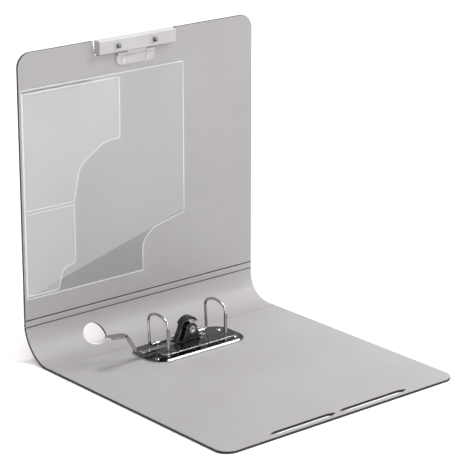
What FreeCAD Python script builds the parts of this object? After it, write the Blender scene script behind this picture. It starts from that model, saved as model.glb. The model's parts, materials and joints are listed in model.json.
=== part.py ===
"""Lever arch file for A4 paper, standing open: back cover flat, front cover upright.

X runs along the spine, from the finger-hole end (-X) to the top end (+X).
Y runs from the free edge of the back cover (-Y) to the spine (+Y), and Z is up.
Everything is built with the back crease at Y = 0 and moved along Y when it is
written out, so that the origin is the centre of the back cover's outer face.
The folding panels are built flat, each with its first crease at its own origin
and its outer side down, and are then turned to their place in the chain. The
fold of each hinge strip is a bead half way between the strip's two creases.
"""
import FreeCAD, Part
import math
import os

V = FreeCAD.Vector
ORIGIN = V(0, 0, 0)
X_AXIS = V(1, 0, 0)
Y_AXIS = V(0, 1, 0)
Z_AXIS = V(0, 0, 1)

# ---- driving dimensions, in millimetres and degrees ----
height = 318.0              # length of the file along its spine
cover_width = 293.0         # crease to free edge of each cover
sheet = 3.0                 # coloured sheet and lining together
lining = 0.6                # grey lining bonded to the inside of the sheet
cover_corner_r = 16.0
strip_half = 4.25           # crease to hinge axis, half the width of a hinge strip
back_bead_r = 1.8           # round bead that each cover turns about
front_bead_r = 2.2
bead_gap = 0.15
spine_chord = 49.5          # crease to crease across the curved spine
spine_half_angle = 44.0     # half of the angle that the spine's curve turns through
spine_end_dip = 1.5         # how far the spine's ends are cut back in the middle
rest_back_fold = 1.0        # fold of the back hinge as the file stands open
rest_front_angle = 90.0     # the front cover stands upright
open_front_angle = -6.2     # front cover laid back, its free edge just off the table
closed_clearance = 0.4      # clip bar to back cover when the file is shut

finger_hole_r = 14.2
finger_hole_x = -75.0

label_length = 97.0
label_width = 39.0
label_corner_r = 5.0
label_middle_x = 52.5
label_card_t = 0.3
label_cavity = 0.55
label_film_t = 0.25
label_weld = 1.6

film_t = 0.3                # clear pockets on the inside of the front cover

slot_width = 6.5
slot_point = 9.0            # length of the tapered end of a closure slot
slot_spans = ((-95.0, -6.0), (-2.0, 93.0))

clip_x = -7.0               # middle of the clip along the free edge
notch_top = 110.0
notch_bottom = 105.0
notch_depth = 16.5
bar_length = 103.0
bar_rise = 7.0              # how far the bar stands in from the inner face
bar_height = 15.2
clip_axis_in = 18.5         # clip pivot to the free edge
clip_pin_r = 0.9
clip_running = 0.05
clip_release = 8.0          # tilt that frees the hooks
tab_width = 51.0
tab_t = 1.8
tab_reach = 31.0            # lower end of the clip's tab to the free edge
hook_in = 8.0               # hooks to the free edge
hook_pitch = 49.0
hook_rise = 4.0
hook_half_thick = 2.3       # across the slot
hook_half_length = 1.8      # along the slot
hook_barb = 0.6
clip_pin_lift = 2.2         # clip pivot above the lining
knuckle_r = 2.1
knuckle_half = 13.0         # half length of the bar's own knuckle
clip_rivet_r = 1.5
clip_rivet_head_r = 2.6
clip_rivet_pitch = 32.0
clip_rivet_in = 26.0        # clip rivets to the free edge

ring_spacing = 80.0         # standard spacing of filing holes
post_y = -54.0
post_r = 1.9
post_top = 35.0
arch_y = -21.0              # arch shaft, beside the spine
wire_r = 1.6
arch_apex = 46.6            # centre line of the wire at the top of an arch
arch_outer_y = -19.0
arch_crown_r = 26.0
arch_shoulder_r = 9.0
arch_opening = 78.0
coil_wire_r = 0.45          # opening spring round the arch shaft
coil_r = 2.55
coil_pitch = 1.35
coil_turns = 6
socket_half_angle = 50.0    # cone of the arch tip in the top of its post
socket_gap = 0.3

plate_length = 130.0
plate_rear_y = -10.0
plate_front_y = -68.0
plate_t = 1.2
plate_corner_r = 20.0
rib_r = 2.2
rivet_head_r = 3.2
rivet_head_h = 1.1
rivet_shank_r = 1.6
rivet_x = 54.0              # plate rivets, either side of the middle
rivet_ys = (-25.0, -53.0)

lever_y = -37.0
lever_width = 7.0
lever_t = 2.0
lever_axis_z = 23.0
lever_pin_r = 2.0
lever_running = 0.05
lever_hub_r = 4.6
lever_curl_r = 10.0
lever_low_z = 8.5
lever_thumb_z = 35.5
lever_swing = 95.0
thumb_width = 12.0

cheek_gap = 13.0            # space between the bracket's cheeks
cheek_t = 1.5
bracket_half_foot = 14.0
bracket_eye_r = 7.5

press_z = 9.0
press_t = 1.2
press_width = 19.0
press_length = 103.0
press_hole_r = 3.0
press_travel = 22.0

# ---- worked out from the driving dimensions ----
half_sheet = sheet / 2
half_height = height / 2
inner_face = half_sheet                     # of a flat panel, from its middle plane
lining_foot = half_sheet - lining
spine_turn = 2 * spine_half_angle
spine_r = spine_chord / 2 / math.sin(math.radians(spine_half_angle))
rest_front_fold = rest_front_angle - spine_turn - rest_back_fold
open_front_fold = open_front_angle - spine_turn
ring_x = ring_spacing / 2
plate_z = sheet
plate_top = plate_z + plate_t
shaft_z = plate_top + coil_r + coil_wire_r + 0.15
clip_axis_y = cover_width - clip_axis_in
clip_axis_h = inner_face + clip_pin_lift
shift = V(0, cover_width / 2, 0)


def direction(angle):
    """Unit vector in the YZ plane, turned up from +Y."""
    return V(0, math.cos(math.radians(angle)), math.sin(math.radians(angle)))


def chain(back_fold, front_angle):
    """Back hinge axis, the spine's two creases, front hinge axis and front crease."""
    back_axis = V(0, strip_half, half_sheet)
    first = back_axis + direction(back_fold) * strip_half
    second = first + direction(back_fold + spine_half_angle) * spine_chord
    front_axis = second + direction(back_fold + spine_turn) * strip_half
    return back_axis, first, second, front_axis, front_axis + direction(front_angle) * strip_half


def closed_wedge():
    """Angle between the two covers when the clip bar lies on the back cover."""
    separation = sheet + bar_rise + closed_clearance
    wedge = 0.0
    for _ in range(30):
        crease = chain((180.0 + wedge - spine_turn) / 2, 180.0 + wedge)[4]
        wedge = math.degrees(math.asin((crease.z - half_sheet - separation) / cover_width))
    return wedge


wedge = closed_wedge()
closed_fold = (180.0 + wedge - spine_turn) / 2
closed_crease = chain(closed_fold, 180.0 + wedge)[4]
back_hinge_range = (0.0 - rest_back_fold, closed_fold - rest_back_fold)
front_hinge_range = (open_front_fold - rest_front_fold, closed_fold - rest_front_fold)
back_axis, spine_start, spine_end, front_axis, front_crease = chain(rest_back_fold, rest_front_angle)


def slot_middle():
    """Y of the closure slots: where the hooks come down when the file is shut."""
    hook_depth = inner_face + bar_rise + hook_rise / 2
    along = direction(180.0 + wedge) * (cover_width - hook_in)
    inward = direction(270.0 + wedge) * hook_depth
    return (closed_crease + along + inward).y


# ---- building blocks ----
def box(x0, x1, y0, y1, z0, z1):
    return Part.makeBox(x1 - x0, y1 - y0, z1 - z0, V(x0, y0, z0))


def rod_x(r, x0, x1, y, z):
    return Part.makeCylinder(r, x1 - x0, V(x0, y, z), X_AXIS)


def rod_y(r, y0, y1, x, z):
    return Part.makeCylinder(r, y1 - y0, V(x, y0, z), Y_AXIS)


def rod_z(r, z0, z1, x, y):
    return Part.makeCylinder(r, z1 - z0, V(x, y, z0), Z_AXIS)


def capsule_x(r, x0, x1, y, z):
    """Round bar along X with a half ball beyond each end."""
    edges = [Part.makeLine(V(x0, y, z + r), V(x1, y, z + r)),
             Part.Arc(V(x1, y, z + r), V(x1 + r, y, z), V(x1, y, z - r)).toShape(),
             Part.makeLine(V(x1, y, z - r), V(x0, y, z - r)),
             Part.Arc(V(x0, y, z - r), V(x0 - r, y, z), V(x0, y, z + r)).toShape()]
    half_profile = Part.Face(Part.Wire(edges)).common(box(x0 - r, x1 + r, y - r, y + r, z, z + r))
    return half_profile.revolve(V(x0, y, z), X_AXIS, 360)


def fused(shapes):
    result = shapes[0].multiFuse(shapes[1:])
    return result.removeSplitter()


def rounded_path(points, radii):
    """Edges through the points, with an arc of the given radius at each inner one."""
    edges = []
    start = points[0]
    for before, corner, after, r in zip(points, points[1:], points[2:], radii):
        to_before = (before - corner).normalize()
        to_after = (after - corner).normalize()
        half = to_before.getAngle(to_after) / 2
        reach = r / math.tan(half)
        middle = (to_before + to_after).normalize()
        arc_start = corner + to_before * reach
        arc_middle = corner + middle * (r / math.sin(half) - r)
        arc_end = corner + to_after * reach
        if (arc_start - start).Length > 1e-6:
            edges.append(Part.makeLine(start, arc_start))
        edges.append(Part.Arc(arc_start, arc_middle, arc_end).toShape())
        start = arc_end
    edges.append(Part.makeLine(start, points[-1]))
    return edges


def plate_from(points, radii, z0, z1):
    """Flat plate with a closed outline in XY whose corners have the given radii.

    The outline starts half way along the edge from the last point to the first.
    """
    ring = [V(x, y, z0) for x, y in points]
    start = (ring[-1] + ring[0]) * 0.5
    path = rounded_path([start] + ring + [start], radii)
    return Part.Face(Part.Wire(path)).extrude(V(0, 0, z1 - z0))


def wire_rod(edges, r):
    """Round wire of radius r along a smooth path."""
    path = Part.Wire(edges)
    start = path.OrderedVertexes[0].Point
    tangent = path.OrderedEdges[0].tangentAt(path.OrderedEdges[0].FirstParameter)
    section = Part.Wire(Part.makeCircle(r, start, tangent))
    return path.makePipeShell([section], True, False)


def ribbon(edges, thickness, y0, y1):
    """Strip of metal that follows a path in the XZ plane, between two Y planes."""
    outline = Part.Wire(edges).makeOffset2D(thickness / 2)
    ribbon_face = Part.Face(outline)
    ribbon_face.translate(V(0, y0 - ribbon_face.BoundBox.YMin, 0))
    return ribbon_face.extrude(V(0, y1 - y0, 0))


def placed(shape, crease, angle):
    """Turn a flat panel about its first crease and set it in the chain."""
    result = shape.copy()
    result.rotate(ORIGIN, X_AXIS, angle)
    result.translate(crease)
    return result


# ---- covers, hinge strips and spine ----
def cover_blank(side, bead_r, z0, z1):
    """Flat cover from its hinge axis, past its crease at 0, to y = side * cover_width."""
    free = side * cover_width
    axis_y = -side * strip_half
    points = [(-half_height, axis_y), (half_height, axis_y), (half_height, free), (-half_height, free)]
    radii = [0.01, 0.01, cover_corner_r, cover_corner_r]
    bead_room = rod_x(bead_r + bead_gap, -height, height, axis_y, 0)
    return plate_from(points, radii, z0, z1).cut(bead_room)


def slot_cutter():
    middle = slot_middle()
    half = slot_width / 2
    cutters = []
    for x0, x1 in slot_spans:
        corners = [(x0, 0), (x0 + slot_point, -half), (x1 - slot_point, -half),
                   (x1, 0), (x1 - slot_point, half), (x0 + slot_point, half)]
        ring = [V(x, middle + y, -sheet) for x, y in corners]
        cutters.append(Part.Face(Part.makePolygon(ring + ring[:1])).extrude(V(0, 0, 2 * sheet)))
    return Part.makeCompound(cutters)


def notch_cutter():
    edge = cover_width + 1
    foot = cover_width - notch_depth
    points = [(clip_x - notch_bottom / 2, foot), (clip_x + notch_bottom / 2, foot),
              (clip_x + notch_top / 2, edge), (clip_x - notch_top / 2, edge)]
    return plate_from(points, [2.5, 2.5, 0.01, 0.01], -sheet, sheet)


def back_panel(z0, z1):
    holes = [rod_z(rivet_shank_r, -sheet, sheet, x, y) for x, y in plate_rivet_places()]
    blank = cover_blank(-1, back_bead_r, z0, z1).cut([slot_cutter()] + holes)
    return placed(blank, V(0, 0, half_sheet), 0)


def front_panel(z0, z1):
    holes = [rod_z(clip_rivet_r, -sheet, sheet, x, y) for x, y in clip_rivet_places()]
    return front(cover_blank(1, front_bead_r, z0, z1).cut([notch_cutter()] + holes))


def front(shape):
    return placed(shape, front_crease, rest_front_angle)


def back_cover():
    flush_heads = [rod_z(rivet_head_r, 0, lining, x, y) for x, y in plate_rivet_places()]
    return back_panel(-half_sheet, lining_foot).cut(flush_heads)


def strip_section(bead_y, bead_r, z0, z1):
    """Half of a hinge strip with its bead at bead_y, between two heights."""
    bar = box(-half_height, half_height, 0, strip_half, -half_sheet, half_sheet)
    bead = rod_x(bead_r, -half_height, half_height, bead_y, 0)
    slab = box(-height, height, -strip_half, 2 * strip_half, z0, z1)
    return fused([bar, bead]).common(slab)


def back_strip(z0, z1):
    strip = placed(strip_section(0, back_bead_r, z0, z1), back_axis, rest_back_fold)
    return strip.common(box(-height, height, -height, height, 0, height))


def front_strip(z0, z1):
    strip = strip_section(strip_half, front_bead_r, z0, z1)
    return placed(strip, spine_end, rest_back_fold + spine_turn)


def spine_shell(r_inner, r_outer, half_angle):
    """Part of a tube about the spine's own centre line, open side up."""
    centre = V(-half_height, spine_chord / 2, spine_r * math.cos(math.radians(spine_half_angle)))

    def at(r, angle):
        return centre + direction(angle - 90.0) * r

    edges = [Part.Arc(at(r_outer, -half_angle), at(r_outer, 0), at(r_outer, half_angle)).toShape(),
             Part.makeLine(at(r_outer, half_angle), at(r_inner, half_angle)),
             Part.Arc(at(r_inner, half_angle), at(r_inner, 0), at(r_inner, -half_angle)).toShape(),
             Part.makeLine(at(r_inner, -half_angle), at(r_outer, -half_angle))]
    return Part.Face(Part.Wire(edges)).extrude(V(height, 0, 0))


def end_dip_cutters():
    """Cylinders that cut the spine's ends back in a shallow curve."""
    half = spine_chord / 2
    r = (half ** 2 + spine_end_dip ** 2) / 2 / spine_end_dip
    reach = half_height + r - spine_end_dip
    return [rod_z(r, -3 * spine_chord, spine_chord, x, half) for x in (-reach, reach)]


def spine_panel(r_inner, r_outer):
    hole = rod_z(finger_hole_r, -spine_chord, 0, finger_hole_x, spine_chord / 2)
    return on_spine(spine_shell(r_inner, r_outer, spine_half_angle).cut([hole] + end_dip_cutters()))


def on_spine(shape):
    return placed(shape, spine_start, rest_back_fold + spine_half_angle)


# ---- spine label ----
def label_blank(width, x0, x1, corner_r, r_inner, r_outer):
    half = width / 2
    middle = spine_chord / 2
    points = [(x0, middle - half), (x1, middle - half), (x1, middle + half), (x0, middle + half)]
    prism = plate_from(points, [corner_r] * 4, -spine_chord, 0)
    return spine_shell(r_inner, r_outer, spine_half_angle).common(prism)


def label_pocket():
    outer = spine_r + half_sheet
    x0 = label_middle_x - label_length / 2
    x1 = label_middle_x + label_length / 2
    skin = outer + label_cavity
    film = label_blank(label_width, x0, x1, label_corner_r, outer, skin + label_film_t)
    inside_width = label_width - 2 * label_weld
    cavity = label_blank(inside_width, x0 + label_weld, x1 + label_length, label_corner_r / 2,
                         outer - 1, skin)
    return on_spine(film.cut(cavity))


def label_card():
    play = 0.4
    foot = spine_r + half_sheet + (label_cavity - label_card_t) / 2
    x0 = label_middle_x - label_length / 2 + label_weld + play
    x1 = label_middle_x + label_length / 2 - play
    width = label_width - 2 * (label_weld + play)
    return on_spine(label_blank(width, x0, x1, label_corner_r / 2, foot, foot + label_card_t))


# ---- clear pockets inside the front cover ----
def document_pocket():
    points = [(-157, 23), (1, 23), (1, 56), (16, 70), (60, 80), (60, 254), (-157, 254)]
    return front(plate_from(points, [2, 2, 14, 10, 4, 2, 2], inner_face, inner_face + film_t))


def card_pocket_upper():
    points = [(-156, 121), (-91, 121), (-83, 158), (-50, 180), (-28, 181), (-28, 250), (-156, 250)]
    foot = inner_face + film_t
    return front(plate_from(points, [2, 3, 20, 20, 3, 3, 2], foot, foot + film_t))


def card_pocket_lower():
    points = [(-156, 26), (-114, 26), (-108, 48), (-91, 52), (-91, 119), (-156, 119)]
    foot = inner_face + film_t
    return front(plate_from(points, [2, 3, 10, 4, 3, 2], foot, foot + film_t))


# ---- closure clip on the front cover's free edge ----
def clip_rivet_places():
    half = clip_rivet_pitch / 2
    return [(clip_x + side * half, cover_width - clip_rivet_in) for side in (-1, 1)]


def clip_tab():
    """Fixed tab of the clip, riveted to the inside of the cover."""
    half = tab_width / 2
    foot = cover_width - tab_reach
    points = [(clip_x + half, foot), (clip_x + half, clip_axis_y - 0.5),
              (clip_x - half, clip_axis_y - 0.5), (clip_x - half, foot)]
    near = knuckle_half + 0.4
    room = rod_x(knuckle_r + 0.4, clip_x - near, clip_x + near, clip_axis_y, clip_axis_h)
    tab = plate_from(points, [7.0, 0.01, 0.01, 7.0], inner_face, inner_face + tab_t).cut(room)
    shapes = [tab]
    for side in (-1, 1):
        x0, x1 = sorted((clip_x + side * near, clip_x + side * (half - 0.3)))
        shapes.append(rod_x(knuckle_r, x0, x1, clip_axis_y, clip_axis_h))
    bore = rod_x(clip_pin_r, clip_x - tab_width, clip_x + tab_width, clip_axis_y, clip_axis_h)
    holes = [rod_z(clip_rivet_r, 0, 2 * sheet, x, y) for x, y in clip_rivet_places()]
    return front(fused(shapes).cut([bore] + holes))


def clip_pin():
    half = tab_width / 2 - 0.5
    return front(rod_x(clip_pin_r, clip_x - half, clip_x + half, clip_axis_y, clip_axis_h))


def clip_rivets():
    top = inner_face + tab_t
    shapes = []
    for x, y in clip_rivet_places():
        shank = rod_z(clip_rivet_r, -half_sheet, top, x, y)
        head = rod_z(clip_rivet_head_r, top, top + 0.7, x, y)
        shapes.append(fused([shank, head]))
    return front(Part.makeCompound(shapes))


def clip_bar():
    """Bar that fills the notch and tilts about the clip's pin."""
    half = bar_length / 2
    foot = cover_width - bar_height
    top = inner_face + bar_rise
    soft = 1.0
    ring = [V(clip_x - half, foot, -half_sheet), V(clip_x - half, cover_width, -half_sheet),
            V(clip_x - half, cover_width, top - soft), V(clip_x - half, cover_width - soft, top),
            V(clip_x - half, foot + soft, top), V(clip_x - half, foot, top - soft)]
    body = Part.Face(Part.makePolygon(ring + ring[:1])).extrude(V(bar_length, 0, 0))
    arm_x0 = clip_x - knuckle_half
    arm_x1 = clip_x + knuckle_half
    arm = box(arm_x0, arm_x1, clip_axis_y, foot + 1, inner_face + 0.5, clip_axis_h + knuckle_r)
    knuckle = rod_x(knuckle_r, arm_x0, arm_x1, clip_axis_y, clip_axis_h)
    bore = rod_x(clip_pin_r + clip_running, arm_x0, arm_x1, clip_axis_y, clip_axis_h)
    return front(fused([body, arm, knuckle]).cut(bore))


def clip_hooks():
    """Two barbed hooks that snap into the back cover's slots."""
    shapes = []
    foot = inner_face + bar_rise
    y = cover_width - hook_in
    near = y - hook_half_thick
    far = y + hook_half_thick
    section = [(near, 0), (far, 0), (far, 0.4), (far + hook_barb, 0.5), (y, 1.0), (near, 0.6)]
    for side in (-1, 1):
        x = clip_x - 2.5 + side * hook_pitch / 2 - hook_half_length
        ring = [V(x, across, foot + share * hook_rise) for across, share in section]
        shapes.append(Part.Face(Part.makePolygon(ring + ring[:1])).extrude(V(2 * hook_half_length, 0, 0)))
    return front(Part.makeCompound(shapes))


# ---- mechanism on the back cover ----
def plate_rivet_places():
    return [(x, y) for x in (-rivet_x, rivet_x) for y in rivet_ys]


def base_plate():
    half = plate_length / 2
    points = [(-half, plate_front_y), (half, plate_front_y), (half, plate_rear_y), (-half, plate_rear_y)]
    sheet_metal = plate_from(points, [plate_corner_r] * 4, plate_z, plate_top)
    rib_half = half - plate_corner_r + 4.0
    rib_y = plate_front_y + rib_r
    rib = capsule_x(rib_r, -rib_half, rib_half, rib_y, plate_top)
    below = box(-height, height, plate_front_y - 9, 0, -9, plate_z)
    body = fused([sheet_metal, rib.cut(below)])
    holes = [rod_z(rivet_shank_r, 0, 9, x, y) for x, y in plate_rivet_places()]
    holes += [rod_z(post_r, 0, 9, x, post_y) for x in (-ring_x, ring_x)]
    return body.cut(holes)


def plate_rivets():
    shapes = []
    for x, y in plate_rivet_places():
        shank = rod_z(rivet_shank_r, 0, plate_top, x, y)
        flush = rod_z(rivet_head_r, 0, lining, x, y)
        dome_r = (rivet_head_r ** 2 + rivet_head_h ** 2) / 2 / rivet_head_h
        ball = Part.makeSphere(dome_r, V(x, y, plate_top + rivet_head_h - dome_r))
        dome = ball.common(rod_z(rivet_head_r, plate_top, plate_top + 3, x, y))
        shapes.append(fused([shank, flush, dome]))
    return Part.makeCompound(shapes)


def socket_cone(x, r, lift):
    """Cone of the arch tip, point down, its rim level with the top of the post."""
    depth = r / math.tan(math.radians(socket_half_angle))
    return Part.makeCone(0, r, depth, V(x, post_y, post_top - depth + lift), Z_AXIS)


def post(x):
    shank = rod_z(post_r, plate_z, post_top, x, post_y)
    foot = rod_z(3.4, plate_top, plate_top + 1.0, x, post_y)
    return fused([shank, foot]).cut(socket_cone(x, wire_r, 0))


def arch_centres():
    """Centres of an arch's two shoulders and of its crown, as (y, z)."""
    middle_y = (arch_outer_y + post_y) / 2
    half_width = (arch_outer_y - post_y) / 2
    crown_z = arch_apex - arch_crown_r
    side = half_width - arch_shoulder_r
    rise = math.sqrt((arch_crown_r - arch_shoulder_r) ** 2 - side ** 2)
    return middle_y, side, crown_z, crown_z + rise


def half_arch_path():
    """One arch and half of the shaft, from the tip to the middle of the crank."""
    x = ring_x
    middle_y, side, crown_z, shoulder_z = arch_centres()
    r = arch_shoulder_r

    def shoulder(sign, angle):
        point = direction(angle) * r
        return V(x, middle_y + sign * side + point.y, shoulder_z + point.z)

    lean = math.degrees(math.atan2(shoulder_z - crown_z, side))
    front_join = shoulder(-1, 180.0 - lean)
    rear_join = shoulder(1, lean)
    crown = V(x, middle_y, arch_apex)
    tip = V(x, post_y, post_top + socket_gap)
    edges = [Part.makeLine(tip, shoulder(-1, 180.0)),
             Part.Arc(shoulder(-1, 180.0), shoulder(-1, 180.0 - lean / 2), front_join).toShape(),
             Part.Arc(front_join, crown, rear_join).toShape()]
    root = V(x, arch_y, shaft_z)
    to_root = V(0, arch_y - (middle_y + side), shaft_z - shoulder_z)
    tangent_turn = math.degrees(math.acos(r / to_root.Length))
    leg_angle = math.degrees(math.atan2(to_root.z, to_root.y)) + tangent_turn
    leg_top = shoulder(1, leg_angle)
    edges.append(Part.Arc(rear_join, shoulder(1, (lean + leg_angle) / 2), leg_top).toShape())
    crank_y = arch_y - 6.0
    points = [leg_top, root, V(12.0, arch_y, shaft_z), V(8.0, crank_y, shaft_z), V(0, crank_y, shaft_z)]
    return edges + rounded_path(points, [4.0, 2.5, 2.5])


def arch_wire():
    half = wire_rod(half_arch_path(), wire_r)
    depth = wire_r / math.tan(math.radians(socket_half_angle))
    tip = Part.makeCone(0, wire_r, depth, V(ring_x, post_y, post_top + socket_gap - depth), Z_AXIS)
    half = fused([half, tip])
    return fused([half, half.mirror(ORIGIN, X_AXIS)])


def shaft_saddles():
    """Two bent straps that hold the arch shaft down on the plate."""
    shapes = []
    bore = wire_r + 0.06
    wall = 1.3
    for x in (-30.0, 30.0):
        hoop = rod_x(bore + wall, x - 3, x + 3, arch_y, shaft_z)
        base = box(x - 3, x + 3, arch_y - 6.5, arch_y + 6.5, plate_top, plate_top + 1.2)
        wall_block = box(x - 3, x + 3, arch_y - bore - wall, arch_y + bore + wall, plate_top, shaft_z)
        strap = fused([hoop, base, wall_block])
        room = rod_x(bore, x - 9, x + 9, arch_y, shaft_z)
        under = box(x - 9, x + 9, arch_y - 9, arch_y + 9, 0, plate_top)
        shapes.append(strap.cut([room, under]))
    return Part.makeCompound(shapes)


def arch_spring():
    """Coil that pushes the arches open, wound with clearance round the shaft."""
    coil = Part.makeHelix(coil_pitch, coil_pitch * coil_turns, coil_r)
    start = coil.Vertexes[0].Point
    section = Part.Wire(Part.makeCircle(coil_wire_r, start, Y_AXIS))
    spring = Part.Wire(coil).makePipeShell([section], True, True)
    spring.rotate(ORIGIN, Y_AXIS, 90)
    spring.translate(V(16.0, arch_y, shaft_z))
    return spring


def lever_bracket():
    """Folded steel bracket whose two cheeks carry the lever's pin."""
    half_gap = cheek_gap / 2
    outer = half_gap + cheek_t
    base = box(-bracket_half_foot, bracket_half_foot, lever_y - outer, lever_y + outer,
               plate_top, plate_top + 1.2)
    shapes = [base]
    for side in (-1, 1):
        y0, y1 = sorted((lever_y + side * half_gap, lever_y + side * outer))
        corners = [(-bracket_half_foot, plate_top), (bracket_half_foot, plate_top),
                   (bracket_eye_r, lever_axis_z), (-bracket_eye_r, lever_axis_z)]
        ring = [V(x, y0, z) for x, z in corners]
        shapes.append(Part.Face(Part.makePolygon(ring + ring[:1])).extrude(V(0, y1 - y0, 0)))
        shapes.append(rod_y(bracket_eye_r, y0, y1, 0, lever_axis_z))
    bore = rod_y(lever_pin_r, lever_y - 2 * outer, lever_y + 2 * outer, 0, lever_axis_z)
    return fused(shapes).cut(bore)


def lever_pin():
    outer = cheek_gap / 2 + cheek_t
    shank = rod_y(lever_pin_r, lever_y - outer, lever_y + outer, 0, lever_axis_z)
    front_head = rod_y(4.2, lever_y - outer - 1.4, lever_y - outer, 0, lever_axis_z)
    rear_head = rod_y(3.4, lever_y + outer, lever_y + outer + 1.0, 0, lever_axis_z)
    dimple = Part.makeCone(2.2, 1.2, 0.8, V(0, lever_y - outer - 1.4, lever_axis_z), Y_AXIS)
    return fused([shank, front_head, rear_head]).cut(dimple)


def lever_path():
    """From the thumb end, down along the plate and up over the pivot."""
    axis = V(0, 0, lever_axis_z)
    curl_start = 165.0
    curl_end = 40.0

    def on_curl(angle):
        turn = math.radians(angle)
        return axis + V(math.cos(turn), 0, math.sin(turn)) * lever_curl_r

    points = [V(-108, 0, lever_thumb_z + 0.8), V(-84, 0, lever_thumb_z - 1.5), V(-68, 0, lever_low_z),
              V(-18, 0, lever_low_z), on_curl(curl_start)]
    edges = rounded_path(points, [9.0, 14.0, 7.0])
    middle = (curl_start + curl_end) / 2
    edges.append(Part.Arc(on_curl(curl_start), on_curl(middle), on_curl(curl_end)).toShape())
    return edges


def lever():
    half = lever_width / 2
    arm = ribbon(lever_path(), lever_t, lever_y - half, lever_y + half)
    hub = rod_y(lever_hub_r, lever_y - 6.0, lever_y + 6.0, 0, lever_axis_z)
    web_corners = [(-3.0, lever_axis_z - 3.4), (-9.6, lever_axis_z), (-7.0, lever_axis_z + 6.8),
                   (0, lever_axis_z + 9.6), (4.5, lever_axis_z + 3.0)]
    ring = [V(x, lever_y - 1.5, z) for x, z in web_corners]
    web = Part.Face(Part.makePolygon(ring + ring[:1])).extrude(V(0, 3.0, 0))
    thumb_half = thumb_width / 2
    points = [(-110, lever_y - thumb_half), (-90, lever_y - thumb_half), (-84, lever_y - half),
              (-84, lever_y + half), (-90, lever_y + thumb_half), (-110, lever_y + thumb_half)]
    thumb = plate_from(points, [4.5, 6.0, 1.0, 1.0, 6.0, 4.5], -lever_t / 2, lever_t / 2)
    thumb.rotate(V(-84, 0, 0), Y_AXIS, 5.5)
    thumb.translate(V(0, 0, lever_thumb_z - 1.4))
    bore = rod_y(lever_pin_r + lever_running, lever_y - 9, lever_y + 9, 0, lever_axis_z)
    return fused([arm, hub, web, thumb]).cut(bore)


def lever_cap():
    """Black cap over the curl of the lever."""
    inner = lever_curl_r + lever_t / 2

    def at(r, angle):
        turn = math.radians(angle)
        return V(r * math.cos(turn), lever_y - 4.5, lever_axis_z + r * math.sin(turn))

    edges = [Part.Arc(at(inner, 148), at(inner, 92), at(inner, 37)).toShape(),
             Part.makeLine(at(inner, 37), at(inner + 1.8, 32)),
             Part.Arc(at(inner + 1.8, 32), at(inner + 2.6, 92), at(inner + 1.8, 152)).toShape(),
             Part.makeLine(at(inner + 1.8, 152), at(inner, 148))]
    return Part.Face(Part.Wire(edges)).extrude(V(0, 9.0, 0))


def press_bar():
    """Flat bar that slides on the posts and holds the sheets down."""
    half = press_length / 2
    front_y = post_y - press_width / 2 + 1.0
    rear_y = front_y + press_width
    points = [(-half, front_y), (half, front_y), (half, rear_y), (-half, rear_y)]
    bar = plate_from(points, [9.0] * 4, press_z, press_z + press_t)
    window = box(-22, 22, post_y + 6.5, rear_y + 1, 0, 2 * press_z)
    holes = [rod_z(press_hole_r, 0, 2 * press_z, x, post_y) for x in (-ring_x, ring_x)]
    return bar.cut([window] + holes)


parts = {
    "back_cover": back_cover(),
    "back_lining": back_panel(lining_foot, inner_face),
    "back_hinge_strip": back_strip(-sheet, lining_foot),
    "back_strip_lining": back_strip(lining_foot, sheet),
    "spine": spine_panel(spine_r - lining_foot, spine_r + half_sheet),
    "spine_lining": spine_panel(spine_r - half_sheet, spine_r - lining_foot),
    "front_hinge_strip": front_strip(-sheet, lining_foot),
    "front_strip_lining": front_strip(lining_foot, sheet),
    "front_cover": front_panel(-half_sheet, lining_foot),
    "front_lining": front_panel(lining_foot, inner_face),
    "label_pocket": label_pocket(),
    "label_card": label_card(),
    "document_pocket": document_pocket(),
    "card_pocket_upper": card_pocket_upper(),
    "card_pocket_lower": card_pocket_lower(),
    "clip_tab": clip_tab(),
    "clip_pin": clip_pin(),
    "clip_rivets": clip_rivets(),
    "clip_bar": clip_bar(),
    "clip_hooks": clip_hooks(),
    "base_plate": base_plate(),
    "plate_rivets": plate_rivets(),
    "post_bottom_end": post(-ring_x),
    "post_top_end": post(ring_x),
    "arch_wire": arch_wire(),
    "shaft_saddles": shaft_saddles(),
    "arch_spring": arch_spring(),
    "lever_bracket": lever_bracket(),
    "lever_pin": lever_pin(),
    "lever": lever(),
    "lever_cap": lever_cap(),
    "press_bar": press_bar(),
}

os.makedirs("parts", exist_ok=True)
for name, shape in parts.items():
    shape.translate(shift)
    shape.exportStep(f"parts/{name}.step")
    print(name, "solids", len(shape.Solids), "valid", shape.isValid(), "volume", round(shape.Volume))
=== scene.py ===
import json
import math

import bmesh
import bpy
from mathutils import Matrix, Vector
from mathutils.geometry import tessellate_polygon


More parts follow.
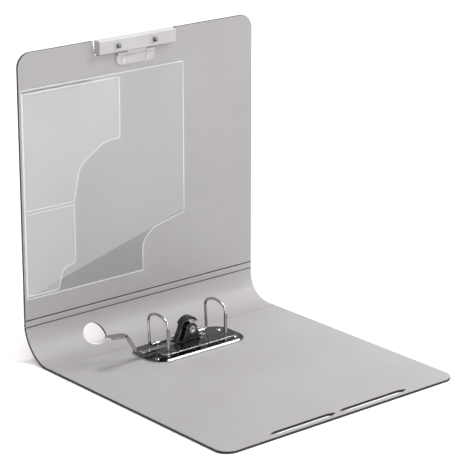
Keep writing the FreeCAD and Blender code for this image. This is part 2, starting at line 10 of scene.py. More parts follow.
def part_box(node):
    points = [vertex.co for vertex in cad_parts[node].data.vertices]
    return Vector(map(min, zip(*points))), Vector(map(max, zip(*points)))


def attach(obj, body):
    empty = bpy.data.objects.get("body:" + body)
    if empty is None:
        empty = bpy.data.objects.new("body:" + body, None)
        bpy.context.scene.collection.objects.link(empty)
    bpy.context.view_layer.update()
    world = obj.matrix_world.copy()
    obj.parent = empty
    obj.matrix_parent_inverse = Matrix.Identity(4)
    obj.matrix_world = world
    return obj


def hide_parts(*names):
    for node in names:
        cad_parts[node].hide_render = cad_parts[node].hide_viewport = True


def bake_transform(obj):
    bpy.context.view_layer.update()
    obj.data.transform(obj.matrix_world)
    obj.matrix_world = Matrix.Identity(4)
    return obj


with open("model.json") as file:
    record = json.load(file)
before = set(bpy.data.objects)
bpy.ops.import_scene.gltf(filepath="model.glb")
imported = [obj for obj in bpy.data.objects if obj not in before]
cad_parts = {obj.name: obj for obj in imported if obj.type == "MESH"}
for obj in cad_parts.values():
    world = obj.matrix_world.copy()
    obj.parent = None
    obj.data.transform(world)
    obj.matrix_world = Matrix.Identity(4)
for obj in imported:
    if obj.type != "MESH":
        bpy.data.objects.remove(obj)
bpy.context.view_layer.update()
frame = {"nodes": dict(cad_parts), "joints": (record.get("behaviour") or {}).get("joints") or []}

# Lever arch file, standing open. Everything is in metres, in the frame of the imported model:
# X along the spine, Y from the back cover's free edge to the spine, Z up.
# A panel is drawn flat as (along X, across, through), its inner side at positive "through",
# and a mapping then lays it in place: flat for a cover, rolled up for the spine and the strips.

MM = 0.001
joints = {joint["name"]: joint for joint in frame["joints"]}

# ---- sizes ----
HALF_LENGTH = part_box("back_cover")[1].x
COVER_WIDTH = 293 * MM
HALF_SHEET = 1.5 * MM
LINING = 0.6 * MM
LINING_FOOT = HALF_SHEET - LINING
LINING_RIM = 0.35 * MM       # cut edge of the sheet that shows around the lining
SHEET_EDGE = 0.45 * MM       # rounding of the sheet's cut edge
LINING_EDGE = 0.25 * MM
COVER_CORNER = 16 * MM
NOTCH_TOP = 110 * MM         # notch for the clip bar, at the free edge
NOTCH_FOOT = 105 * MM
NOTCH_DEPTH = 16.5 * MM
STRIP = 8.5 * MM
WEB_OUTER = -0.35 * MM       # outer face of the web between a strip's ribs
WEB_INNER = LINING_FOOT - 0.35 * MM
RIBS = ((3.1 * MM, 2.3 * MM), (6.9 * MM, 1.15 * MM))     # middle and half-width, across a strip
SPINE_CHORD = 49.5 * MM
SPINE_HALF = math.radians(44)
SPINE_RADIUS = SPINE_CHORD / 2 / math.sin(SPINE_HALF)
SPINE_END_DIP = 1.5 * MM
HOLE_RADIUS = 14.2 * MM
HOLE_X = -75 * MM
LABEL_X = 52.5 * MM
LABEL_HALF_LENGTH = 48.5 * MM
LABEL_HALF_WIDTH = 20.2 * MM
LABEL_CORNER = 5 * MM
LABEL_WELD = 1.6 * MM
LABEL_CAVITY = 0.55 * MM     # between the spine and the inside of the label pocket
FILM = 0.3 * MM
SLOT_WIDTH = 6.5 * MM
SLOT_POINT = 9 * MM          # length of a slot's tapered end
SLOT_SPANS = ((-95 * MM, -6 * MM), (-2 * MM, 93 * MM))
CLIP_X = joints["clip_pivot"]["pos_m"][0]
HOOK_IN = 8 * MM             # hooks to the front cover's free edge
HOOK_DEPTH = 10.5 * MM       # middle of the hooks to the middle of the sheet

# ---- places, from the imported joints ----
BACK_FOLD = -math.radians(joints["back_hinge"]["range_deg"][0])
BACK_AXIS = Vector(joints["back_hinge"]["pos_m"])
FRONT_AXIS = Vector(joints["front_hinge"]["pos_m"])
FRONT_ANGLE = math.radians(90)


def direction(angle):
    """Unit vector in the YZ plane, at an angle up from +Y."""
    return Vector((0, math.cos(angle), math.sin(angle)))


BACK_CREASE = BACK_AXIS - direction(0) * STRIP / 2
SPINE_START = BACK_AXIS + direction(BACK_FOLD) * STRIP / 2
SPINE_END = FRONT_AXIS - direction(BACK_FOLD + 2 * SPINE_HALF) * STRIP / 2
FRONT_CREASE = FRONT_AXIS + direction(FRONT_ANGLE) * STRIP / 2


def closed_slot_y():
    """Where the hooks meet the back cover when both hinges are at their upper limits."""
    turns = [math.radians(joints[name]["range_deg"][1]) for name in ("back_hinge", "front_hinge")]
    hook = FRONT_CREASE + Vector((0, -HOOK_DEPTH, COVER_WIDTH - HOOK_IN))
    for axis, turn in ((FRONT_AXIS, turns[1]), (BACK_AXIS, turns[0])):
        hook = axis + Matrix.Rotation(turn, 3, "X") @ (hook - axis)
    return hook.y - BACK_CREASE.y


SLOT_Y = closed_slot_y()


# ---- mappings from a flat panel to its place ----
def rolled(origin, angle, turn_per_length=0.0):
    """Mapping that lays a panel from origin, heading at angle and turning as it goes."""
    def place(point, normal):
        x, across, through = point
        if turn_per_length:
            radius = 1 / turn_per_length
            heading = angle + across * turn_per_length
            line = (direction(heading - math.pi / 2) - direction(angle - math.pi / 2)) * radius
        else:
            heading = angle
            line = direction(angle) * across
        inward = direction(heading + math.pi / 2)
        spot = origin + line + inward * through + Vector((x, 0, 0))
        return spot, direction(heading) * normal[1] + inward * normal[2] + Vector((normal[0], 0, 0))
    return place


on_back = rolled(BACK_CREASE, 0.0)
on_front = rolled(FRONT_CREASE, FRONT_ANGLE)
on_spine = rolled(SPINE_START, BACK_FOLD, 1 / SPINE_RADIUS)
on_back_strip = rolled(BACK_CREASE, 0.0, BACK_FOLD / STRIP)
on_front_strip = rolled(SPINE_END, BACK_FOLD + 2 * SPINE_HALF,
                        (FRONT_ANGLE - BACK_FOLD - 2 * SPINE_HALF) / STRIP)


# ---- outlines ----
def rounded(points, radii, steps=7):
    """Polygon whose corners are arcs of the given radii."""
    result = []
    count = len(points)
    for i, (point, radius) in enumerate(zip(points, radii)):
        corner = Vector(point)
        before = (Vector(points[i - 1]) - corner).normalized()
        after = (Vector(points[(i + 1) % count]) - corner).normalized()
        if radius <= 0:
            result.append(corner)
            continue
        half = before.angle(after) / 2
        start = corner + before * (radius / math.tan(half))
        centre = corner + (before + after).normalized() * (radius / math.sin(half))
        sweep = (start - centre).angle_signed(corner + after * (radius / math.tan(half)) - centre)
        for step in range(steps + 1):
            arm = (start - centre)
            arm.rotate(Matrix.Rotation(-sweep * step / steps, 2))
            result.append(centre + arm)
    return result


def area(ring):
    """Signed area of a ring, positive when it is anticlockwise."""
    return sum(a.x * b.y - b.x * a.y for a, b in zip(ring, ring[1:] + ring[:1])) / 2


def wound(ring, hole=False):
    """The ring, anticlockwise for an outline and clockwise for a hole."""
    return ring[::-1] if (area(ring) < 0) != hole else ring


def edge_normals(ring):
    """Outward normals of the edges that start at each point."""
    normals = []
    for a, b in zip(ring, ring[1:] + ring[:1]):
        run = (b - a).normalized()
        normals.append(Vector((run.y, -run.x)))
    return normals


def inset(ring, depth):
    """The ring with each edge moved inwards by depth, or outwards if depth is negative."""
    normals = edge_normals(ring)
    result = []
    for i, point in enumerate(ring):
        a, b = normals[i - 1], normals[i]
        result.append(point - (a + b) * depth / (1 + a.dot(b)))
    return result


def grown(ring, amount):
    return inset(ring, -amount)


# ---- slabs ----
def slab(name, rings, low, high, edge, place, materials, sides=0, fill=None, soft=3):
    """Plate with rounded edges: rings is the outline and then any holes, in the flat.

    The low face takes material 0, the rounded sides take material number `sides`,
    and the high face takes the last material.
    """
    rings = [wound(rings[0])] + [wound(ring, True) for ring in rings[1:]]
    quarter = [math.pi / 2 * k / soft for k in range(soft + 1)]
    profile = [(edge * (1 - math.sin(a)), low + edge * (1 - math.cos(a)), math.sin(a), -math.cos(a))
               for a in quarter]
    profile += [(edge * (1 - math.sin(a)), high - edge * (1 - math.cos(a)), math.sin(a), math.cos(a))
                for a in reversed(quarter)]
    levels = [[inset(ring, depth) for ring in rings] for depth, _, _, _ in profile]
    verts = []
    for level, (_, through, _, _) in zip(levels, profile):
        for ring in level:
            verts += [(p.x, p.y, through) for p in ring]
    per_level = sum(len(ring) for ring in rings)
    if fill is None:
        fill = tessellate_polygon([[p.to_3d() for p in ring] for ring in levels[0]])
    faces, normals, numbers = [], [], []
    flat = [p for ring in levels[0] for p in ring]
    for face in fill:
        face = list(face)
        if area([flat[i] for i in face]) < 0:
            face.reverse()
        top = [i + per_level * (len(profile) - 1) for i in face]
        faces += [face[::-1], top]
        normals += [[(0, 0, -1)] * len(face), [(0, 0, 1)] * len(face)]
        numbers += [0, len(materials) - 1]
    start = 0
    for ring in rings:
        out = edge_normals(ring)
        count = len(ring)
        for i in range(count):
            j = (i + 1) % count
            at_i = (out[i - 1] + out[i]).normalized() if out[i - 1].dot(out[i]) > 0.8 else out[i]
            at_j = (out[i] + out[j]).normalized() if out[i].dot(out[j]) > 0.8 else out[i]
            for k in range(len(profile) - 1):
                a = start + i + per_level * k
                b = start + j + per_level * k
                faces.append([a, b, b + per_level, a + per_level])
                face_normals = []
                for side, part in ((at_i, k), (at_j, k), (at_j, k + 1), (at_i, k + 1)):
                    outward, upward = profile[part][2:]
                    face_normals.append((side.x * outward, side.y * outward, upward))
                normals.append(face_normals)
                numbers.append(sides)
        start += count
    placed = [place(v, (0, 0, 1))[0] for v in verts]
    loop_normals = []
    for face, face_normals in zip(faces, normals):
        for i, n in zip(face, face_normals):
            loop_normals.append(place(verts[i], n)[1].normalized())
    mesh = bpy.data.meshes.new(name)
    mesh.from_pydata(placed, [], faces)
    for material in materials:
        mesh.materials.append(material)
    mesh.polygons.foreach_set("material_index", numbers)
    mesh.polygons.foreach_set("use_smooth", [True] * len(faces))
    mesh.normals_split_custom_set(loop_normals)
    return linked(name, mesh)


def linked(name, data):
    """New object in the scene for the given data."""
    piece = bpy.data.objects.new(name, data)
    bpy.context.scene.collection.objects.link(piece)
    return piece


def turned(place):
    """The mapping for a section drawn as (across, through) and drawn out along X."""
    def along_x(point, normal):
        return place((point[2], point[0], point[1]), (normal[2], normal[0], normal[1]))
    return along_x


def band_region(stations, low_x, high_x, hole=None):
    """Rings and fill of a region between two curves, cut across at each station.

    hole is (centre x, half-width at a station, first, last), with stations first
    to last inside it.
    """
    count = len(stations)
    outline = [Vector((high_x(s), s)) for s in stations]
    outline += [Vector((low_x(s), s)) for s in reversed(stations)]

    def right(k):
        return k

    def left(k):
        return 2 * count - 1 - k

    if hole is None:
        return [outline], [(left(k), right(k), right(k + 1), left(k + 1)) for k in range(count - 1)]
    centre, half_width, first, last = hole
    inner = range(first, last + 1)
    ring = [Vector((centre - half_width(stations[k]), stations[k])) for k in inner]
    ring += [Vector((centre + half_width(stations[k]), stations[k])) for k in reversed(inner[1:-1])]
    span = last - first

    def hole_left(k):
        return 2 * count + k - first

    def hole_right(k):
        return 2 * count + (2 * span - (k - first)) % (2 * span)

    fill = []
    for k in range(count - 1):
        if first <= k < last:
            fill.append((left(k), hole_left(k), hole_left(k + 1), left(k + 1)))
            fill.append((hole_right(k), right(k), right(k + 1), hole_right(k + 1)))
        elif k == first - 1:
            fill.append((left(k), right(k), right(k + 1), hole_left(first), left(k + 1)))
        elif k == last:
            fill.append((left(k), hole_left(last), right(k), right(k + 1), left(k + 1)))
        else:
            fill.append((left(k), right(k), right(k + 1), left(k + 1)))
    return [outline, ring], fill


def finished(piece, body, slot, *nodes):
    """The piece rides on its body and stands for the CAD nodes; the slot is not used."""
    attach(piece, body)
    if nodes:
        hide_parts(*nodes)
    return piece


# ---- material helpers ----
class Finish:
    """A procedural material on the principled shader, built node by node."""

    def __init__(self, name, **values):
        self.material = bpy.data.materials.new(name)
        self.material.use_nodes = True
        self.nodes = self.material.node_tree.nodes
        self.links = self.material.node_tree.links
        self.shader = self.nodes["Principled BSDF"]
        for key, value in values.items():
            self.shader.inputs[key.replace("_", " ")].default_value = value
        self.where = self.nodes.new("ShaderNodeTexCoord").outputs["Object"]

    def stretched(self, scale):
        mapping = self.nodes.new("ShaderNodeMapping")
        mapping.inputs["Scale"].default_value = scale
        self.links.new(self.where, mapping.inputs["Vector"])
        return mapping.outputs["Vector"]

    def noise(self, scale, detail=3.0, stretch=(1, 1, 1), roughness=0.5):
        node = self.nodes.new("ShaderNodeTexNoise")
        node.inputs["Scale"].default_value = scale
        node.inputs["Detail"].default_value = detail
        node.inputs["Roughness"].default_value = roughness
        self.links.new(self.stretched(stretch), node.inputs["Vector"])
        return node.outputs["Fac"]

    def ramp(self, value, stops):
        node = self.nodes.new("ShaderNodeValToRGB")
        elements = node.color_ramp.elements
        while len(elements) < len(stops):
            elements.new(0.5)
        for element, (place, colour) in zip(elements, stops):
            element.position = place
            element.color = (*colour, 1)
        self.links.new(value, node.inputs["Fac"])
        return node.outputs["Color"]

    def spread(self, value, low, high):
        node = self.nodes.new("ShaderNodeMapRange")
        node.inputs["To Min"].default_value = low
        node.inputs["To Max"].default_value = high
        node.inputs["From Min"].default_value = 0.3
        node.inputs["From Max"].default_value = 0.7
        self.links.new(value, node.inputs["Value"])
        return node.outputs["Result"]

    def added(self, a, b, weight):
        node = self.nodes.new("ShaderNodeMath")
        node.operation = "MULTIPLY_ADD"
        self.links.new(b, node.inputs[0])
        node.inputs[1].default_value = weight
        self.links.new(a, node.inputs[2])
        return node.outputs["Value"]

    def colour(self, value):
        self.links.new(value, self.shader.inputs["Base Color"])

    def rough(self, value, low, high):
        self.links.new(self.spread(value, low, high), self.shader.inputs["Roughness"])

    def bump(self, value, strength, distance):
        node = self.nodes.new("ShaderNodeBump")
        node.inputs["Strength"].default_value = strength
        node.inputs["Distance"].default_value = distance
        self.links.new(value, node.inputs["Height"])
        self.links.new(node.outputs["Normal"], self.shader.inputs["Normal"])


def brushed_burgundy():
    """Metal-look film with fine brushing that runs across the file, along Y."""
    finish = Finish("brushed_burgundy", Metallic=0.78, Anisotropic=0.55, Coat_Weight=0.08,
                    Coat_Roughness=0.22)
    streaks = finish.noise(1.0, 5.0, (2600, 9, 9), 0.6)
    broad = finish.noise(1.0, 2.0, (300, 3, 3))
    both = finish.added(streaks, broad, 0.15)
    finish.colour(finish.ramp(both, [(0.30, (0.120, 0.013, 0.022)), (0.60, (0.160, 0.021, 0.034)),
                                     (0.95, (0.215, 0.038, 0.056))]))
    finish.rough(streaks, 0.30, 0.40)
    finish.bump(streaks, 0.16, 0.00004)
    return finish.material


def grained_lining():
    """Satin grey plastic with a fine even grain."""
    finish = Finish("grained_lining", Specular_IOR_Level=0.42, Sheen_Weight=0.06)
    grain = finish.noise(2600, 2.0)
    cloud = finish.noise(9, 3.0)
    finish.colour(finish.ramp(cloud, [(0.3, (0.290, 0.277, 0.280)), (0.7, (0.315, 0.302, 0.305))]))
    finish.rough(grain, 0.42, 0.56)
    finish.bump(grain, 0.18, 0.00008)
    return finish.material


def edge_and_groove_shade_finish():
    """Near-black painted shade on the coloured sheet's die-cut edges and on the floors of the hinge
    grooves.
    """
    finish = Finish("edge_and_groove_shade", Specular_IOR_Level=0.35)
    saw = finish.noise(1.0, 3.0, (900, 900, 3500))
    finish.colour(finish.ramp(saw, [(0.3, (0.008, 0.006, 0.007)), (0.75, (0.022, 0.014, 0.017))]))
    finish.rough(saw, 0.38, 0.55)
    finish.bump(saw, 0.25, 0.00005)
    return finish.material


def clear_film(name, alpha, tint):
    finish = Finish(name, Alpha=alpha, Specular_IOR_Level=0.55, Coat_Weight=0.3, Coat_Roughness=0.08)
    waves = finish.noise(16, 2.0, (1, 1, 0.6))
    haze = finish.noise(900, 2.0)
    finish.colour(finish.ramp(waves, [(0.3, tint), (0.7, tuple(min(1, c * 1.06) for c in tint))]))
    finish.rough(finish.added(waves, haze, 0.3), 0.12, 0.26)
    finish.bump(waves, 0.35, 0.0006)
    return finish.material


def card_paper():
    finish = Finish("label_paper", Roughness=0.75, Specular_IOR_Level=0.2)
    fibre = finish.noise(1400, 5.0, (1, 1.6, 1), 0.7)
    finish.colour(finish.ramp(fibre, [(0.3, (0.68, 0.68, 0.67)), (0.7, (0.74, 0.74, 0.735))]))
    finish.bump(fibre, 0.2, 0.00004)
    return finish.material


def moulded_plastic(name, dark, light, low, high, grain_scale=1800, **values):
    """Moulded plastic: fine spark-eroded grain with slight flow marks."""
    finish = Finish(name, Specular_IOR_Level=0.45, **values)
    grain = finish.noise(grain_scale, 2.0)
    flow = finish.noise(60, 3.0, (0.4, 1, 1))
    finish.colour(finish.ramp(flow, [(0.3, dark), (0.7, light)]))
    finish.rough(grain, low, high)
    finish.bump(grain, 0.15, 0.00005)
    return finish.material


def plated_steel(name, dark, light, low, high, grain=(300, 300, 300), **values):
    """Plated steel: cloudy reflections, hairline scratches and faint tarnish."""
    finish = Finish(name, Metallic=1.0, **values)
    scratch = finish.noise(1.0, 5.0, grain, 0.7)
    tarnish = finish.noise(45, 4.0)
    finish.colour(finish.ramp(finish.added(tarnish, scratch, 0.25), [(0.4, dark), (0.75, light)]))
    finish.rough(scratch, low, high)
    finish.bump(scratch, 0.10, 0.00003)
    return finish.material


def floor_finish():
    finish = Finish("studio_floor", Specular_IOR_Level=0.1, Roughness=0.9)
    soft = finish.noise(3, 2.0)
    finish.colour(finish.ramp(soft, [(0.3, (0.93, 0.93, 0.93)), (0.7, (0.95, 0.95, 0.95))]))
    return finish.material


burgundy = brushed_burgundy()
lining_grey = grained_lining()
# Near-black painted shade for cut edges and the floors of the hinge grooves.
edge_and_groove_shade = edge_and_groove_shade_finish()
film = clear_film("clear_film", 0.22, (0.80, 0.815, 0.81))
film_weld = clear_film("film_weld", 0.38, (0.92, 0.93, 0.94))
paper = card_paper()
clip_grey = moulded_plastic("clip_plastic", (0.37, 0.355, 0.36), (0.41, 0.395, 0.40), 0.32, 0.42)
hook_grey = moulded_plastic("hook_plastic", (0.06, 0.06, 0.065), (0.09, 0.09, 0.095), 0.35, 0.5)
black_cap = moulded_plastic("black_plastic", (0.006, 0.006, 0.007), (0.012, 0.012, 0.013), 0.25, 0.4)
nickel = plated_steel("nickel_steel", (0.31, 0.305, 0.295), (0.50, 0.49, 0.475), 0.10, 0.22)
brushed_nickel = plated_steel("brushed_nickel", (0.55, 0.54, 0.53), (0.74, 0.73, 0.72), 0.16, 0.3,
                              (40, 900, 900), Anisotropic=0.4)
dark_steel = plated_steel("dark_steel", (0.035, 0.035, 0.037), (0.11, 0.11, 0.11), 0.18, 0.34)
spring_steel = plated_steel("spring_steel", (0.35, 0.34, 0.33), (0.55, 0.54, 0.52), 0.2, 0.32)


# ---- covers ----
def cover_outline(side, trim=0.0):
    """A cover's outline: crease at 0, free edge on the given side of it."""
    free = side * COVER_WIDTH
    points = [(-HALF_LENGTH, 0), (HALF_LENGTH, 0), (HALF_LENGTH, free), (-HALF_LENGTH, free)]
    ring = wound(rounded(points, [0, 0, COVER_CORNER, COVER_CORNER], 14))
    return inset(ring, trim)


def slot_rings(trim=0.0):
    """The two closure slots, pointed at both ends, each wider by trim all round."""
    half = SLOT_WIDTH / 2
    rings = []
    for x0, x1 in SLOT_SPANS:
        points = [(x0, 0), (x0 + SLOT_POINT, -half), (x1 - SLOT_POINT, -half),
                  (x1, 0), (x1 - SLOT_POINT, half), (x0 + SLOT_POINT, half)]
        ring = wound(rounded(points, [0.8 * MM, 5 * MM, 5 * MM, 0.8 * MM, 5 * MM, 5 * MM], 5))
        rings.append([p + Vector((0, SLOT_Y)) for p in grown(ring, trim)])
    return rings


def notched_outline(trim=0.0):
    """The front cover's outline, with the notch that the clip bar fills."""
    top = NOTCH_TOP / 2
    foot = NOTCH_FOOT / 2
    depth = COVER_WIDTH - NOTCH_DEPTH
    points = [(-HALF_LENGTH, 0), (HALF_LENGTH, 0), (HALF_LENGTH, COVER_WIDTH),
              (CLIP_X + top, COVER_WIDTH), (CLIP_X + foot, depth),
              (CLIP_X - foot, depth), (CLIP_X - top, COVER_WIDTH), (-HALF_LENGTH, COVER_WIDTH)]
    radii = [0, 0, COVER_CORNER, 1 * MM, 2.5 * MM, 2.5 * MM, 1 * MM, COVER_CORNER]
    return inset(wound(rounded(points, radii, 12)), trim)


def make_covers():
    """Both covers, each a coloured sheet with a lining laid inside it."""
    # The sheet's cut edges take the near-black painted shade.
    sheet_materials = [burgundy, edge_and_groove_shade, edge_and_groove_shade]
    back = slab("back_cover_sheet", [cover_outline(-1)] + slot_rings(), -HALF_SHEET, LINING_FOOT,
                SHEET_EDGE, on_back, sheet_materials, sides=1)
    finished(back, "back", "cover_plastic", "back_cover")
    lining_rings = [cover_outline(-1, LINING_RIM)] + slot_rings(LINING_RIM)
    lining = slab("back_cover_lining", lining_rings, LINING_FOOT, HALF_SHEET,
                  LINING_EDGE, on_back, [lining_grey])
    finished(lining, "back", "lining_plastic", "back_lining")
    front = slab("front_cover_sheet", [notched_outline()], -HALF_SHEET, LINING_FOOT,
                 SHEET_EDGE, on_front, sheet_materials, sides=1)
    finished(front, "front", "cover_plastic", "front_cover")
    lining = slab("front_cover_lining", [notched_outline(LINING_RIM)], LINING_FOOT, HALF_SHEET,
                  LINING_EDGE, on_front, [lining_grey])
    finished(lining, "front", "lining_plastic", "front_lining")


# ---- hinge strips ----
def strip_ribs(across):
    """How far the outer face stands out at a place across the strip, from 0 to 1."""
    height = 0.0
    for middle, half in RIBS:
        offset = (across - middle) / half
        if abs(offset) < 1:
            height = max(height, math.sqrt(1 - offset ** 2))
    return height


def strip_section(flip):
    """Section of the moulded strip: thin web, two round ribs on its outer side."""
    rib_rise = HALF_SHEET + WEB_OUTER
    steps = 56
    ring = []
    for k in range(steps + 1):
        across = STRIP * k / steps
        ribs = strip_ribs(STRIP - across if flip else across)
        ring.append(Vector((across, WEB_OUTER - rib_rise * ribs)))
    return ring + [Vector((STRIP, WEB_INNER)), Vector((0, WEB_INNER))]


def strip_band_section(smooth):
    """Band of lining across the strip: crowned between grooves, or smooth and full width."""
    margin = 0.04 * MM if smooth else 1.05 * MM
    crown = 0.02 * MM if smooth else 0.25 * MM
    half = STRIP / 2 - margin
    steps = 16
    ring = []
    for k in range(steps + 1):
        offset = 2 * k / steps - 1
        ring.append(Vector((STRIP / 2 - half * offset, HALF_SHEET - crown * offset ** 4)))
    return ring + [Vector((margin, WEB_INNER)), Vector((STRIP - margin, WEB_INNER))]


def repaint(piece, number, test):
    """Gives material `number` to the faces that pass the test."""
    for face in piece.data.polygons:
        if test(face):
            face.material_index = number


def make_strip(side, place, nodes):
    """A strip and its lining band, laid between two bodies in the open pose. Only the back band is smooth.
    """
    is_back = side == "back"
    # The strip's cut ends take the near-black painted shade. The repaint below gives the web's inner face,
    # the floor of each groove, the same painted shade.
    strip = slab(side + "_hinge_strip_ribs", [strip_section(is_back)], -HALF_LENGTH, HALF_LENGTH,
                 0.08 * MM, turned(place), [edge_and_groove_shade, burgundy, edge_and_groove_shade], sides=1)
    inward = place((0, STRIP / 2, 0), (0, 0, 1))[1]
    repaint(strip, 0, lambda face: face.normal.dot(inward) > 0.97)
    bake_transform(strip)
    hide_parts(nodes[0])
    band_end = HALF_LENGTH - LINING_RIM
    band = slab(side + "_hinge_strip_band", [strip_band_section(is_back)], -band_end, band_end,
                0.12 * MM, turned(place), [lining_grey])
    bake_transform(band)
    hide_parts(nodes[1])


# ---- spine ----
ARC = 2 * SPINE_HALF * SPINE_RADIUS


def chord_place(across):
    """Signed distance from the spine's middle, measured straight across its chord."""
    return SPINE_RADIUS * math.sin(across / SPINE_RADIUS - SPINE_HALF)


def spine_end(across):
    """Distance from the middle to the spine's end, which dips in a shallow arc."""
    half = SPINE_CHORD / 2
    radius = (half ** 2 + SPINE_END_DIP ** 2) / 2 / SPINE_END_DIP
    centre = HALF_LENGTH + radius - SPINE_END_DIP
    return centre - math.sqrt(radius ** 2 - chord_place(across) ** 2)


def hole_half_width(across):
    """Half the finger hole's width along X at a place across the spine."""
    return math.sqrt(max(0.0, HOLE_RADIUS ** 2 - chord_place(across) ** 2))


def spine_stations():
    """Places across the spine: even outside the finger hole, and closer near its rims."""
    reach = SPINE_RADIUS * math.asin(HOLE_RADIUS / SPINE_RADIUS)
    through = 36
    inside = [ARC / 2 - reach * math.cos(math.pi * k / through) for k in range(through + 1)]
    outside = 12
    gap = ARC / 2 - reach
    before = [gap * k / outside for k in range(outside)]
    after = [ARC - place for place in reversed(before)]
    return before + inside + after, outside, outside + through


def make_spine():
    stations, first, last = spine_stations()
    hole = (HOLE_X, hole_half_width, first, last)
    rings, fill = band_region(stations, lambda s: -spine_end(s), spine_end, hole)
    # The spine's cut edges, the finger hole's rim among them, take the near-black painted shade.
    sheet = slab("spine_sheet", rings, -HALF_SHEET, LINING_FOOT, 0.4 * MM, on_spine,
                 [burgundy, edge_and_groove_shade, edge_and_groove_shade], sides=1, fill=fill)
    finished(sheet, "spine", "cover_plastic", "spine")
    rings, fill = band_region(stations, lambda s: LINING_RIM - spine_end(s),
                              lambda s: spine_end(s) - LINING_RIM, hole)
    lining = slab("spine_lining_sheet", rings, LINING_FOOT, HALF_SHEET, 0.22 * MM, on_spine,
                  [lining_grey], fill=fill)
    finished(lining, "spine", "lining_plastic", "spine_lining")


# ---- spine label ----
def label_region(half_length, half_width, corner):
    """Rings and fill of a rounded rectangle around the label's middle."""
    middle = ARC / 2
    straight = half_width - corner
    arc = [corner * math.sin(math.pi / 2 * k / 8) for k in range(9)]
    above = [middle + straight + a for a in arc]
    below = [2 * middle - s for s in reversed(above)]
    core = [middle - straight + 2 * straight * k / 20 for k in range(1, 20)]

    def half_x(s):
        over = max(0.0, abs(s - middle) - straight)
        return half_length - corner + math.sqrt(max(0.0, corner ** 2 - over ** 2))

    return band_region(below + core + above, lambda s: LABEL_X - half_x(s), lambda s: LABEL_X + half_x(s))


def make_label():
    """Clear pocket, its weld, and a blank card that slides out at the weld's open end."""
    skin = -HALF_SHEET - LABEL_CAVITY
    rings, fill = label_region(LABEL_HALF_LENGTH, LABEL_HALF_WIDTH, LABEL_CORNER)
    sheet = slab("label_pocket_film", rings, skin - 0.25 * MM, skin, 0.1 * MM, on_spine, [film], fill=fill)
    finished(sheet, "spine", "clear_film", "label_pocket")
    open_end = LABEL_X + LABEL_HALF_LENGTH - LABEL_CORNER + 0.01 * MM
    ring, fill = open_ribbon(rings[0], LABEL_WELD, open_end)
    weld = slab("label_pocket_weld", [ring], skin - 0.05 * MM, -HALF_SHEET, 0.2 * MM, on_spine,
                [film_weld], fill=fill)
    finished(weld, "spine", "clear_film")
    play = 2 * MM
    rings, fill = label_region(LABEL_HALF_LENGTH - play, LABEL_HALF_WIDTH - play, 3 * MM)
    card_foot = -HALF_SHEET - 0.42 * MM
    card = slab("label_card_blank", rings, card_foot, card_foot + 0.3 * MM, 0.05 * MM, on_spine,
                [paper], fill=fill)
    finished(card, "label", "label_paper", "label_card")


def open_ribbon(ring, width, end_x):
    """Band of even width along an outline, left open where x passes end_x: its ring and its quads."""
    ring = wound(ring)
    hole = inset(ring, width)
    tip = max(range(len(ring)), key=lambda i: ring[i][0])
    kept = [i % len(ring) for i in range(tip, tip + len(ring)) if ring[i % len(ring)][0] < end_x]
    count = len(kept)
    quads = [(i, i + 1, 2 * count - 2 - i, 2 * count - 1 - i) for i in range(count - 1)]
    return [ring[i] for i in kept] + [hole[i] for i in reversed(kept)], quads


def ring_fill(count):
    """Quads between an outline and a hole that has as many points, wound the other way."""
    return [(i, (i + 1) % count, count + (count - 2 - i) % count, count + count - 1 - i)
            for i in range(count)]


# ---- clear pockets ----
def pocket(name, points, radii, foot, node):
    """Film on the front cover's inside, with a raised weld. Points and radii are in mm."""
    points = [(x * MM, y * MM) for x, y in points]
    radii = [r * MM for r in radii]
    ring = wound(rounded(points, radii, 8))
    top = foot + FILM
    sheet = slab(name + "_film", [ring], foot, top, 0.1 * MM, on_front, [film])
    finished(sheet, "front", "clear_film", node)
    weld_rings = [inset(ring, 0.2 * MM), inset(ring, 1.3 * MM)]
    weld = slab(name + "_weld", weld_rings, top - 0.1 * MM, top + 0.2 * MM,
                0.1 * MM, on_front, [film_weld], fill=ring_fill(len(ring)))
    finished(weld, "front", "clear_film")


def make_pockets():
    pocket("document_pocket", [(-157, 23), (1, 23), (1, 56), (16, 70), (60, 80), (60, 254), (-157, 254)],
           [2, 2, 14, 10, 4, 2, 2], HALF_SHEET, "document_pocket")
    second = HALF_SHEET + FILM
    pocket("card_pocket_upper",
           [(-156, 121), (-91, 121), (-83, 158), (-50, 180), (-28, 181), (-28, 250), (-156, 250)],
           [2, 3, 20, 20, 3, 3, 2], second, "card_pocket_upper")
    pocket("card_pocket_lower", [(-156, 26), (-114, 26), (-108, 48), (-91, 52), (-91, 119), (-156, 119)],
           [2, 3, 10, 4, 3, 2], second, "card_pocket_lower")


# ---- CAD solids with eased edges ----
def eased(node, body, slot, material, edge, segments=2):
    """Copy of a CAD solid with its sharp edges rounded, standing for the node."""
    mesh = frame["nodes"][node].data.copy()
    solid = bmesh.new()
    solid.from_mesh(mesh)
    bmesh.ops.remove_doubles(solid, verts=solid.verts, dist=0.002 * MM)
    bmesh.ops.dissolve_limit(solid, angle_limit=math.radians(1.0), verts=solid.verts, edges=solid.edges)
    sharp = [e for e in solid.edges
             if len(e.link_faces) == 2 and e.calc_face_angle(0.0) > math.radians(32)]
    bmesh.ops.bevel(solid, geom=sharp, offset=edge, segments=segments, profile=0.5,
                    affect="EDGES", clamp_overlap=True)
    for face in solid.faces:
        face.smooth = True
    solid.to_mesh(mesh)
    solid.free()
    if mesh.has_custom_normals:
        mesh.normals_split_custom_set([(0, 0, 0)] * len(mesh.loops))
    mesh.materials.clear()
    mesh.materials.append(material)
    mesh.polygons.foreach_set("material_index", [0] * len(mesh.polygons))
    piece = linked(node + "_eased", mesh)
    weighted = piece.modifiers.new("weighted_normals", "WEIGHTED_NORMAL")
    weighted.keep_sharp = True
    return finished(piece, body, slot, node)


def darkened(piece, material, test):
    """Gives the faces that pass the test a second material."""
    piece.data.materials.append(material)
    repaint(piece, len(piece.data.materials) - 1, test)


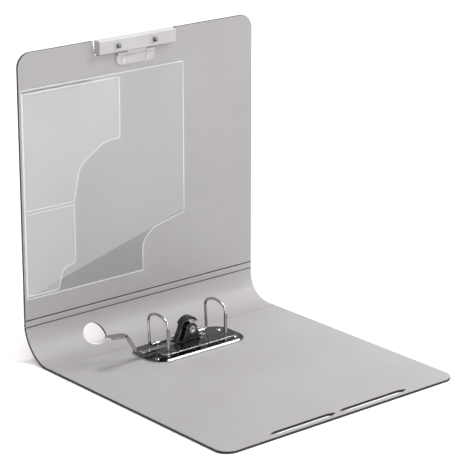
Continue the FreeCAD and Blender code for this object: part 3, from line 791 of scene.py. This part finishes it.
def make_hardware():
    """Clip and lever mechanism, from the CAD solids. Recessed faces are painted darker as shade: the
    plate's floor and the press bar's flat faces.
    """
    eased("clip_tab", "front", "clip_plastic", clip_grey, 0.3 * MM)
    eased("clip_pin", "front", "nickel_steel", nickel, 0.1 * MM)
    eased("clip_rivets", "front", "nickel_steel", nickel, 0.2 * MM)
    eased("clip_bar", "clip", "clip_plastic", clip_grey, 0.5 * MM, 3)
    eased("clip_hooks", "clip", "hook_plastic", hook_grey, 0.3 * MM)
    plate = eased("base_plate", "back", "nickel_steel", brushed_nickel, 0.35 * MM)
    # Painted shade: the plate's flat floor behind its front rib takes the dark steel, standing in for the
    # recess's shade.
    rib_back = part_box("base_plate")[0].y + 4.3 * MM
    darkened(plate, dark_steel, lambda face: face.center.y > rib_back and face.normal.z > 0.8)
    eased("plate_rivets", "back", "nickel_steel", nickel, 0.1 * MM)
    eased("post_bottom_end", "back", "nickel_steel", nickel, 0.15 * MM)
    eased("post_top_end", "back", "nickel_steel", nickel, 0.15 * MM)
    eased("arch_wire", "arches", "nickel_steel", nickel, 0.05 * MM)
    eased("shaft_saddles", "back", "nickel_steel", nickel, 0.25 * MM)
    eased("arch_spring", "back", "spring_steel", spring_steel, 0.02 * MM)
    eased("lever_bracket", "back", "dark_steel", dark_steel, 0.25 * MM)
    eased("lever_pin", "back", "nickel_steel", nickel, 0.2 * MM)
    lever = eased("lever", "lever_arm", "nickel_steel", nickel, 0.3 * MM)
    darkened(lever, dark_steel, lambda face: face.center.x > -20 * MM)
    eased("lever_cap", "lever_arm", "black_plastic", black_cap, 0.4 * MM)
    bar = eased("press_bar", "press", "nickel_steel", nickel, 0.25 * MM)
    # Painted shade: the press bar's flat top and bottom faces take the dark steel, standing in for the
    # recess's shade.
    darkened(bar, dark_steel, lambda face: abs(face.normal.z) > 0.95)


# ---- studio ----
def make_floor():
    half = 14.0
    mesh = bpy.data.meshes.new("studio_floor")
    corners = [(-half, -half, 0), (half, -half, 0), (half, half, 0), (-half, half, 0)]
    mesh.from_pydata(corners, [], [(0, 1, 2, 3)])
    mesh.materials.append(floor_finish())
    floor = linked("studio_floor", mesh)
    floor.location.z = -0.05 * MM


def area_light(name, place, target, size, energy):
    """Round soft light at place, aimed at target."""
    data = bpy.data.lights.new(name, "AREA")
    data.shape = "DISK"
    data.size = size
    data.energy = energy
    lamp = linked(name, data)
    lamp.location = place
    lamp.rotation_euler = (Vector(target) - Vector(place)).to_track_quat("-Z", "Y").to_euler()


def make_world():
    """Soft white surroundings, a little darker overhead."""
    world = bpy.data.worlds.new("studio")
    world.use_nodes = True
    nodes = world.node_tree.nodes
    links = world.node_tree.links
    where = nodes.new("ShaderNodeTexCoord")
    split = nodes.new("ShaderNodeSeparateXYZ")
    ramp = nodes.new("ShaderNodeValToRGB")
    ramp.color_ramp.elements[0].position = 0.25
    ramp.color_ramp.elements[0].color = (1.0, 1.0, 1.0, 1)
    ramp.color_ramp.elements[1].position = 0.9
    ramp.color_ramp.elements[1].color = (0.45, 0.45, 0.46, 1)
    links.new(where.outputs["Generated"], split.inputs["Vector"])
    links.new(split.outputs["Z"], ramp.inputs["Fac"])
    links.new(ramp.outputs["Color"], nodes["Background"].inputs["Color"])
    nodes["Background"].inputs["Strength"].default_value = 0.95
    bpy.context.scene.world = world


def make_camera():
    """Camera at the photograph's viewing angle, fitted to the open copy's outline."""
    azimuth = math.radians(-39.957)
    elevation = math.radians(17.824)
    data = bpy.data.cameras.new("camera")
    data.sensor_width = 36
    data.lens = 164.74
    data.clip_end = 60
    camera = linked("camera", data)
    camera.location = (-1.3791, -1.6177, 0.8396)
    camera.rotation_euler = (math.pi / 2 - elevation, 0, azimuth)
    bpy.context.scene.camera = camera


def make_studio():
    make_floor()
    make_world()
    make_camera()
    middle = (0, 0.05, 0.1)
    area_light("key_light", (0.75, 0.15, 2.1), middle, 0.8, 30)
    area_light("front_light", (1.5, -0.95, 1.75), middle, 0.9, 30)
    area_light("side_light", (-1.2, -2.2, 1.2), middle, 1.6, 26)
    area_light("back_light", (0.6, 2.2, 1.6), middle, 1.4, 14)
    bpy.context.scene.view_settings.view_transform = "Standard"


make_studio()
make_covers()
make_strip("back", on_back_strip,
           ("back_hinge_strip", "back_strip_lining"))
make_strip("front", on_front_strip,
           ("front_hinge_strip", "front_strip_lining"))
make_spine()
make_label()
make_pockets()
make_hardware()
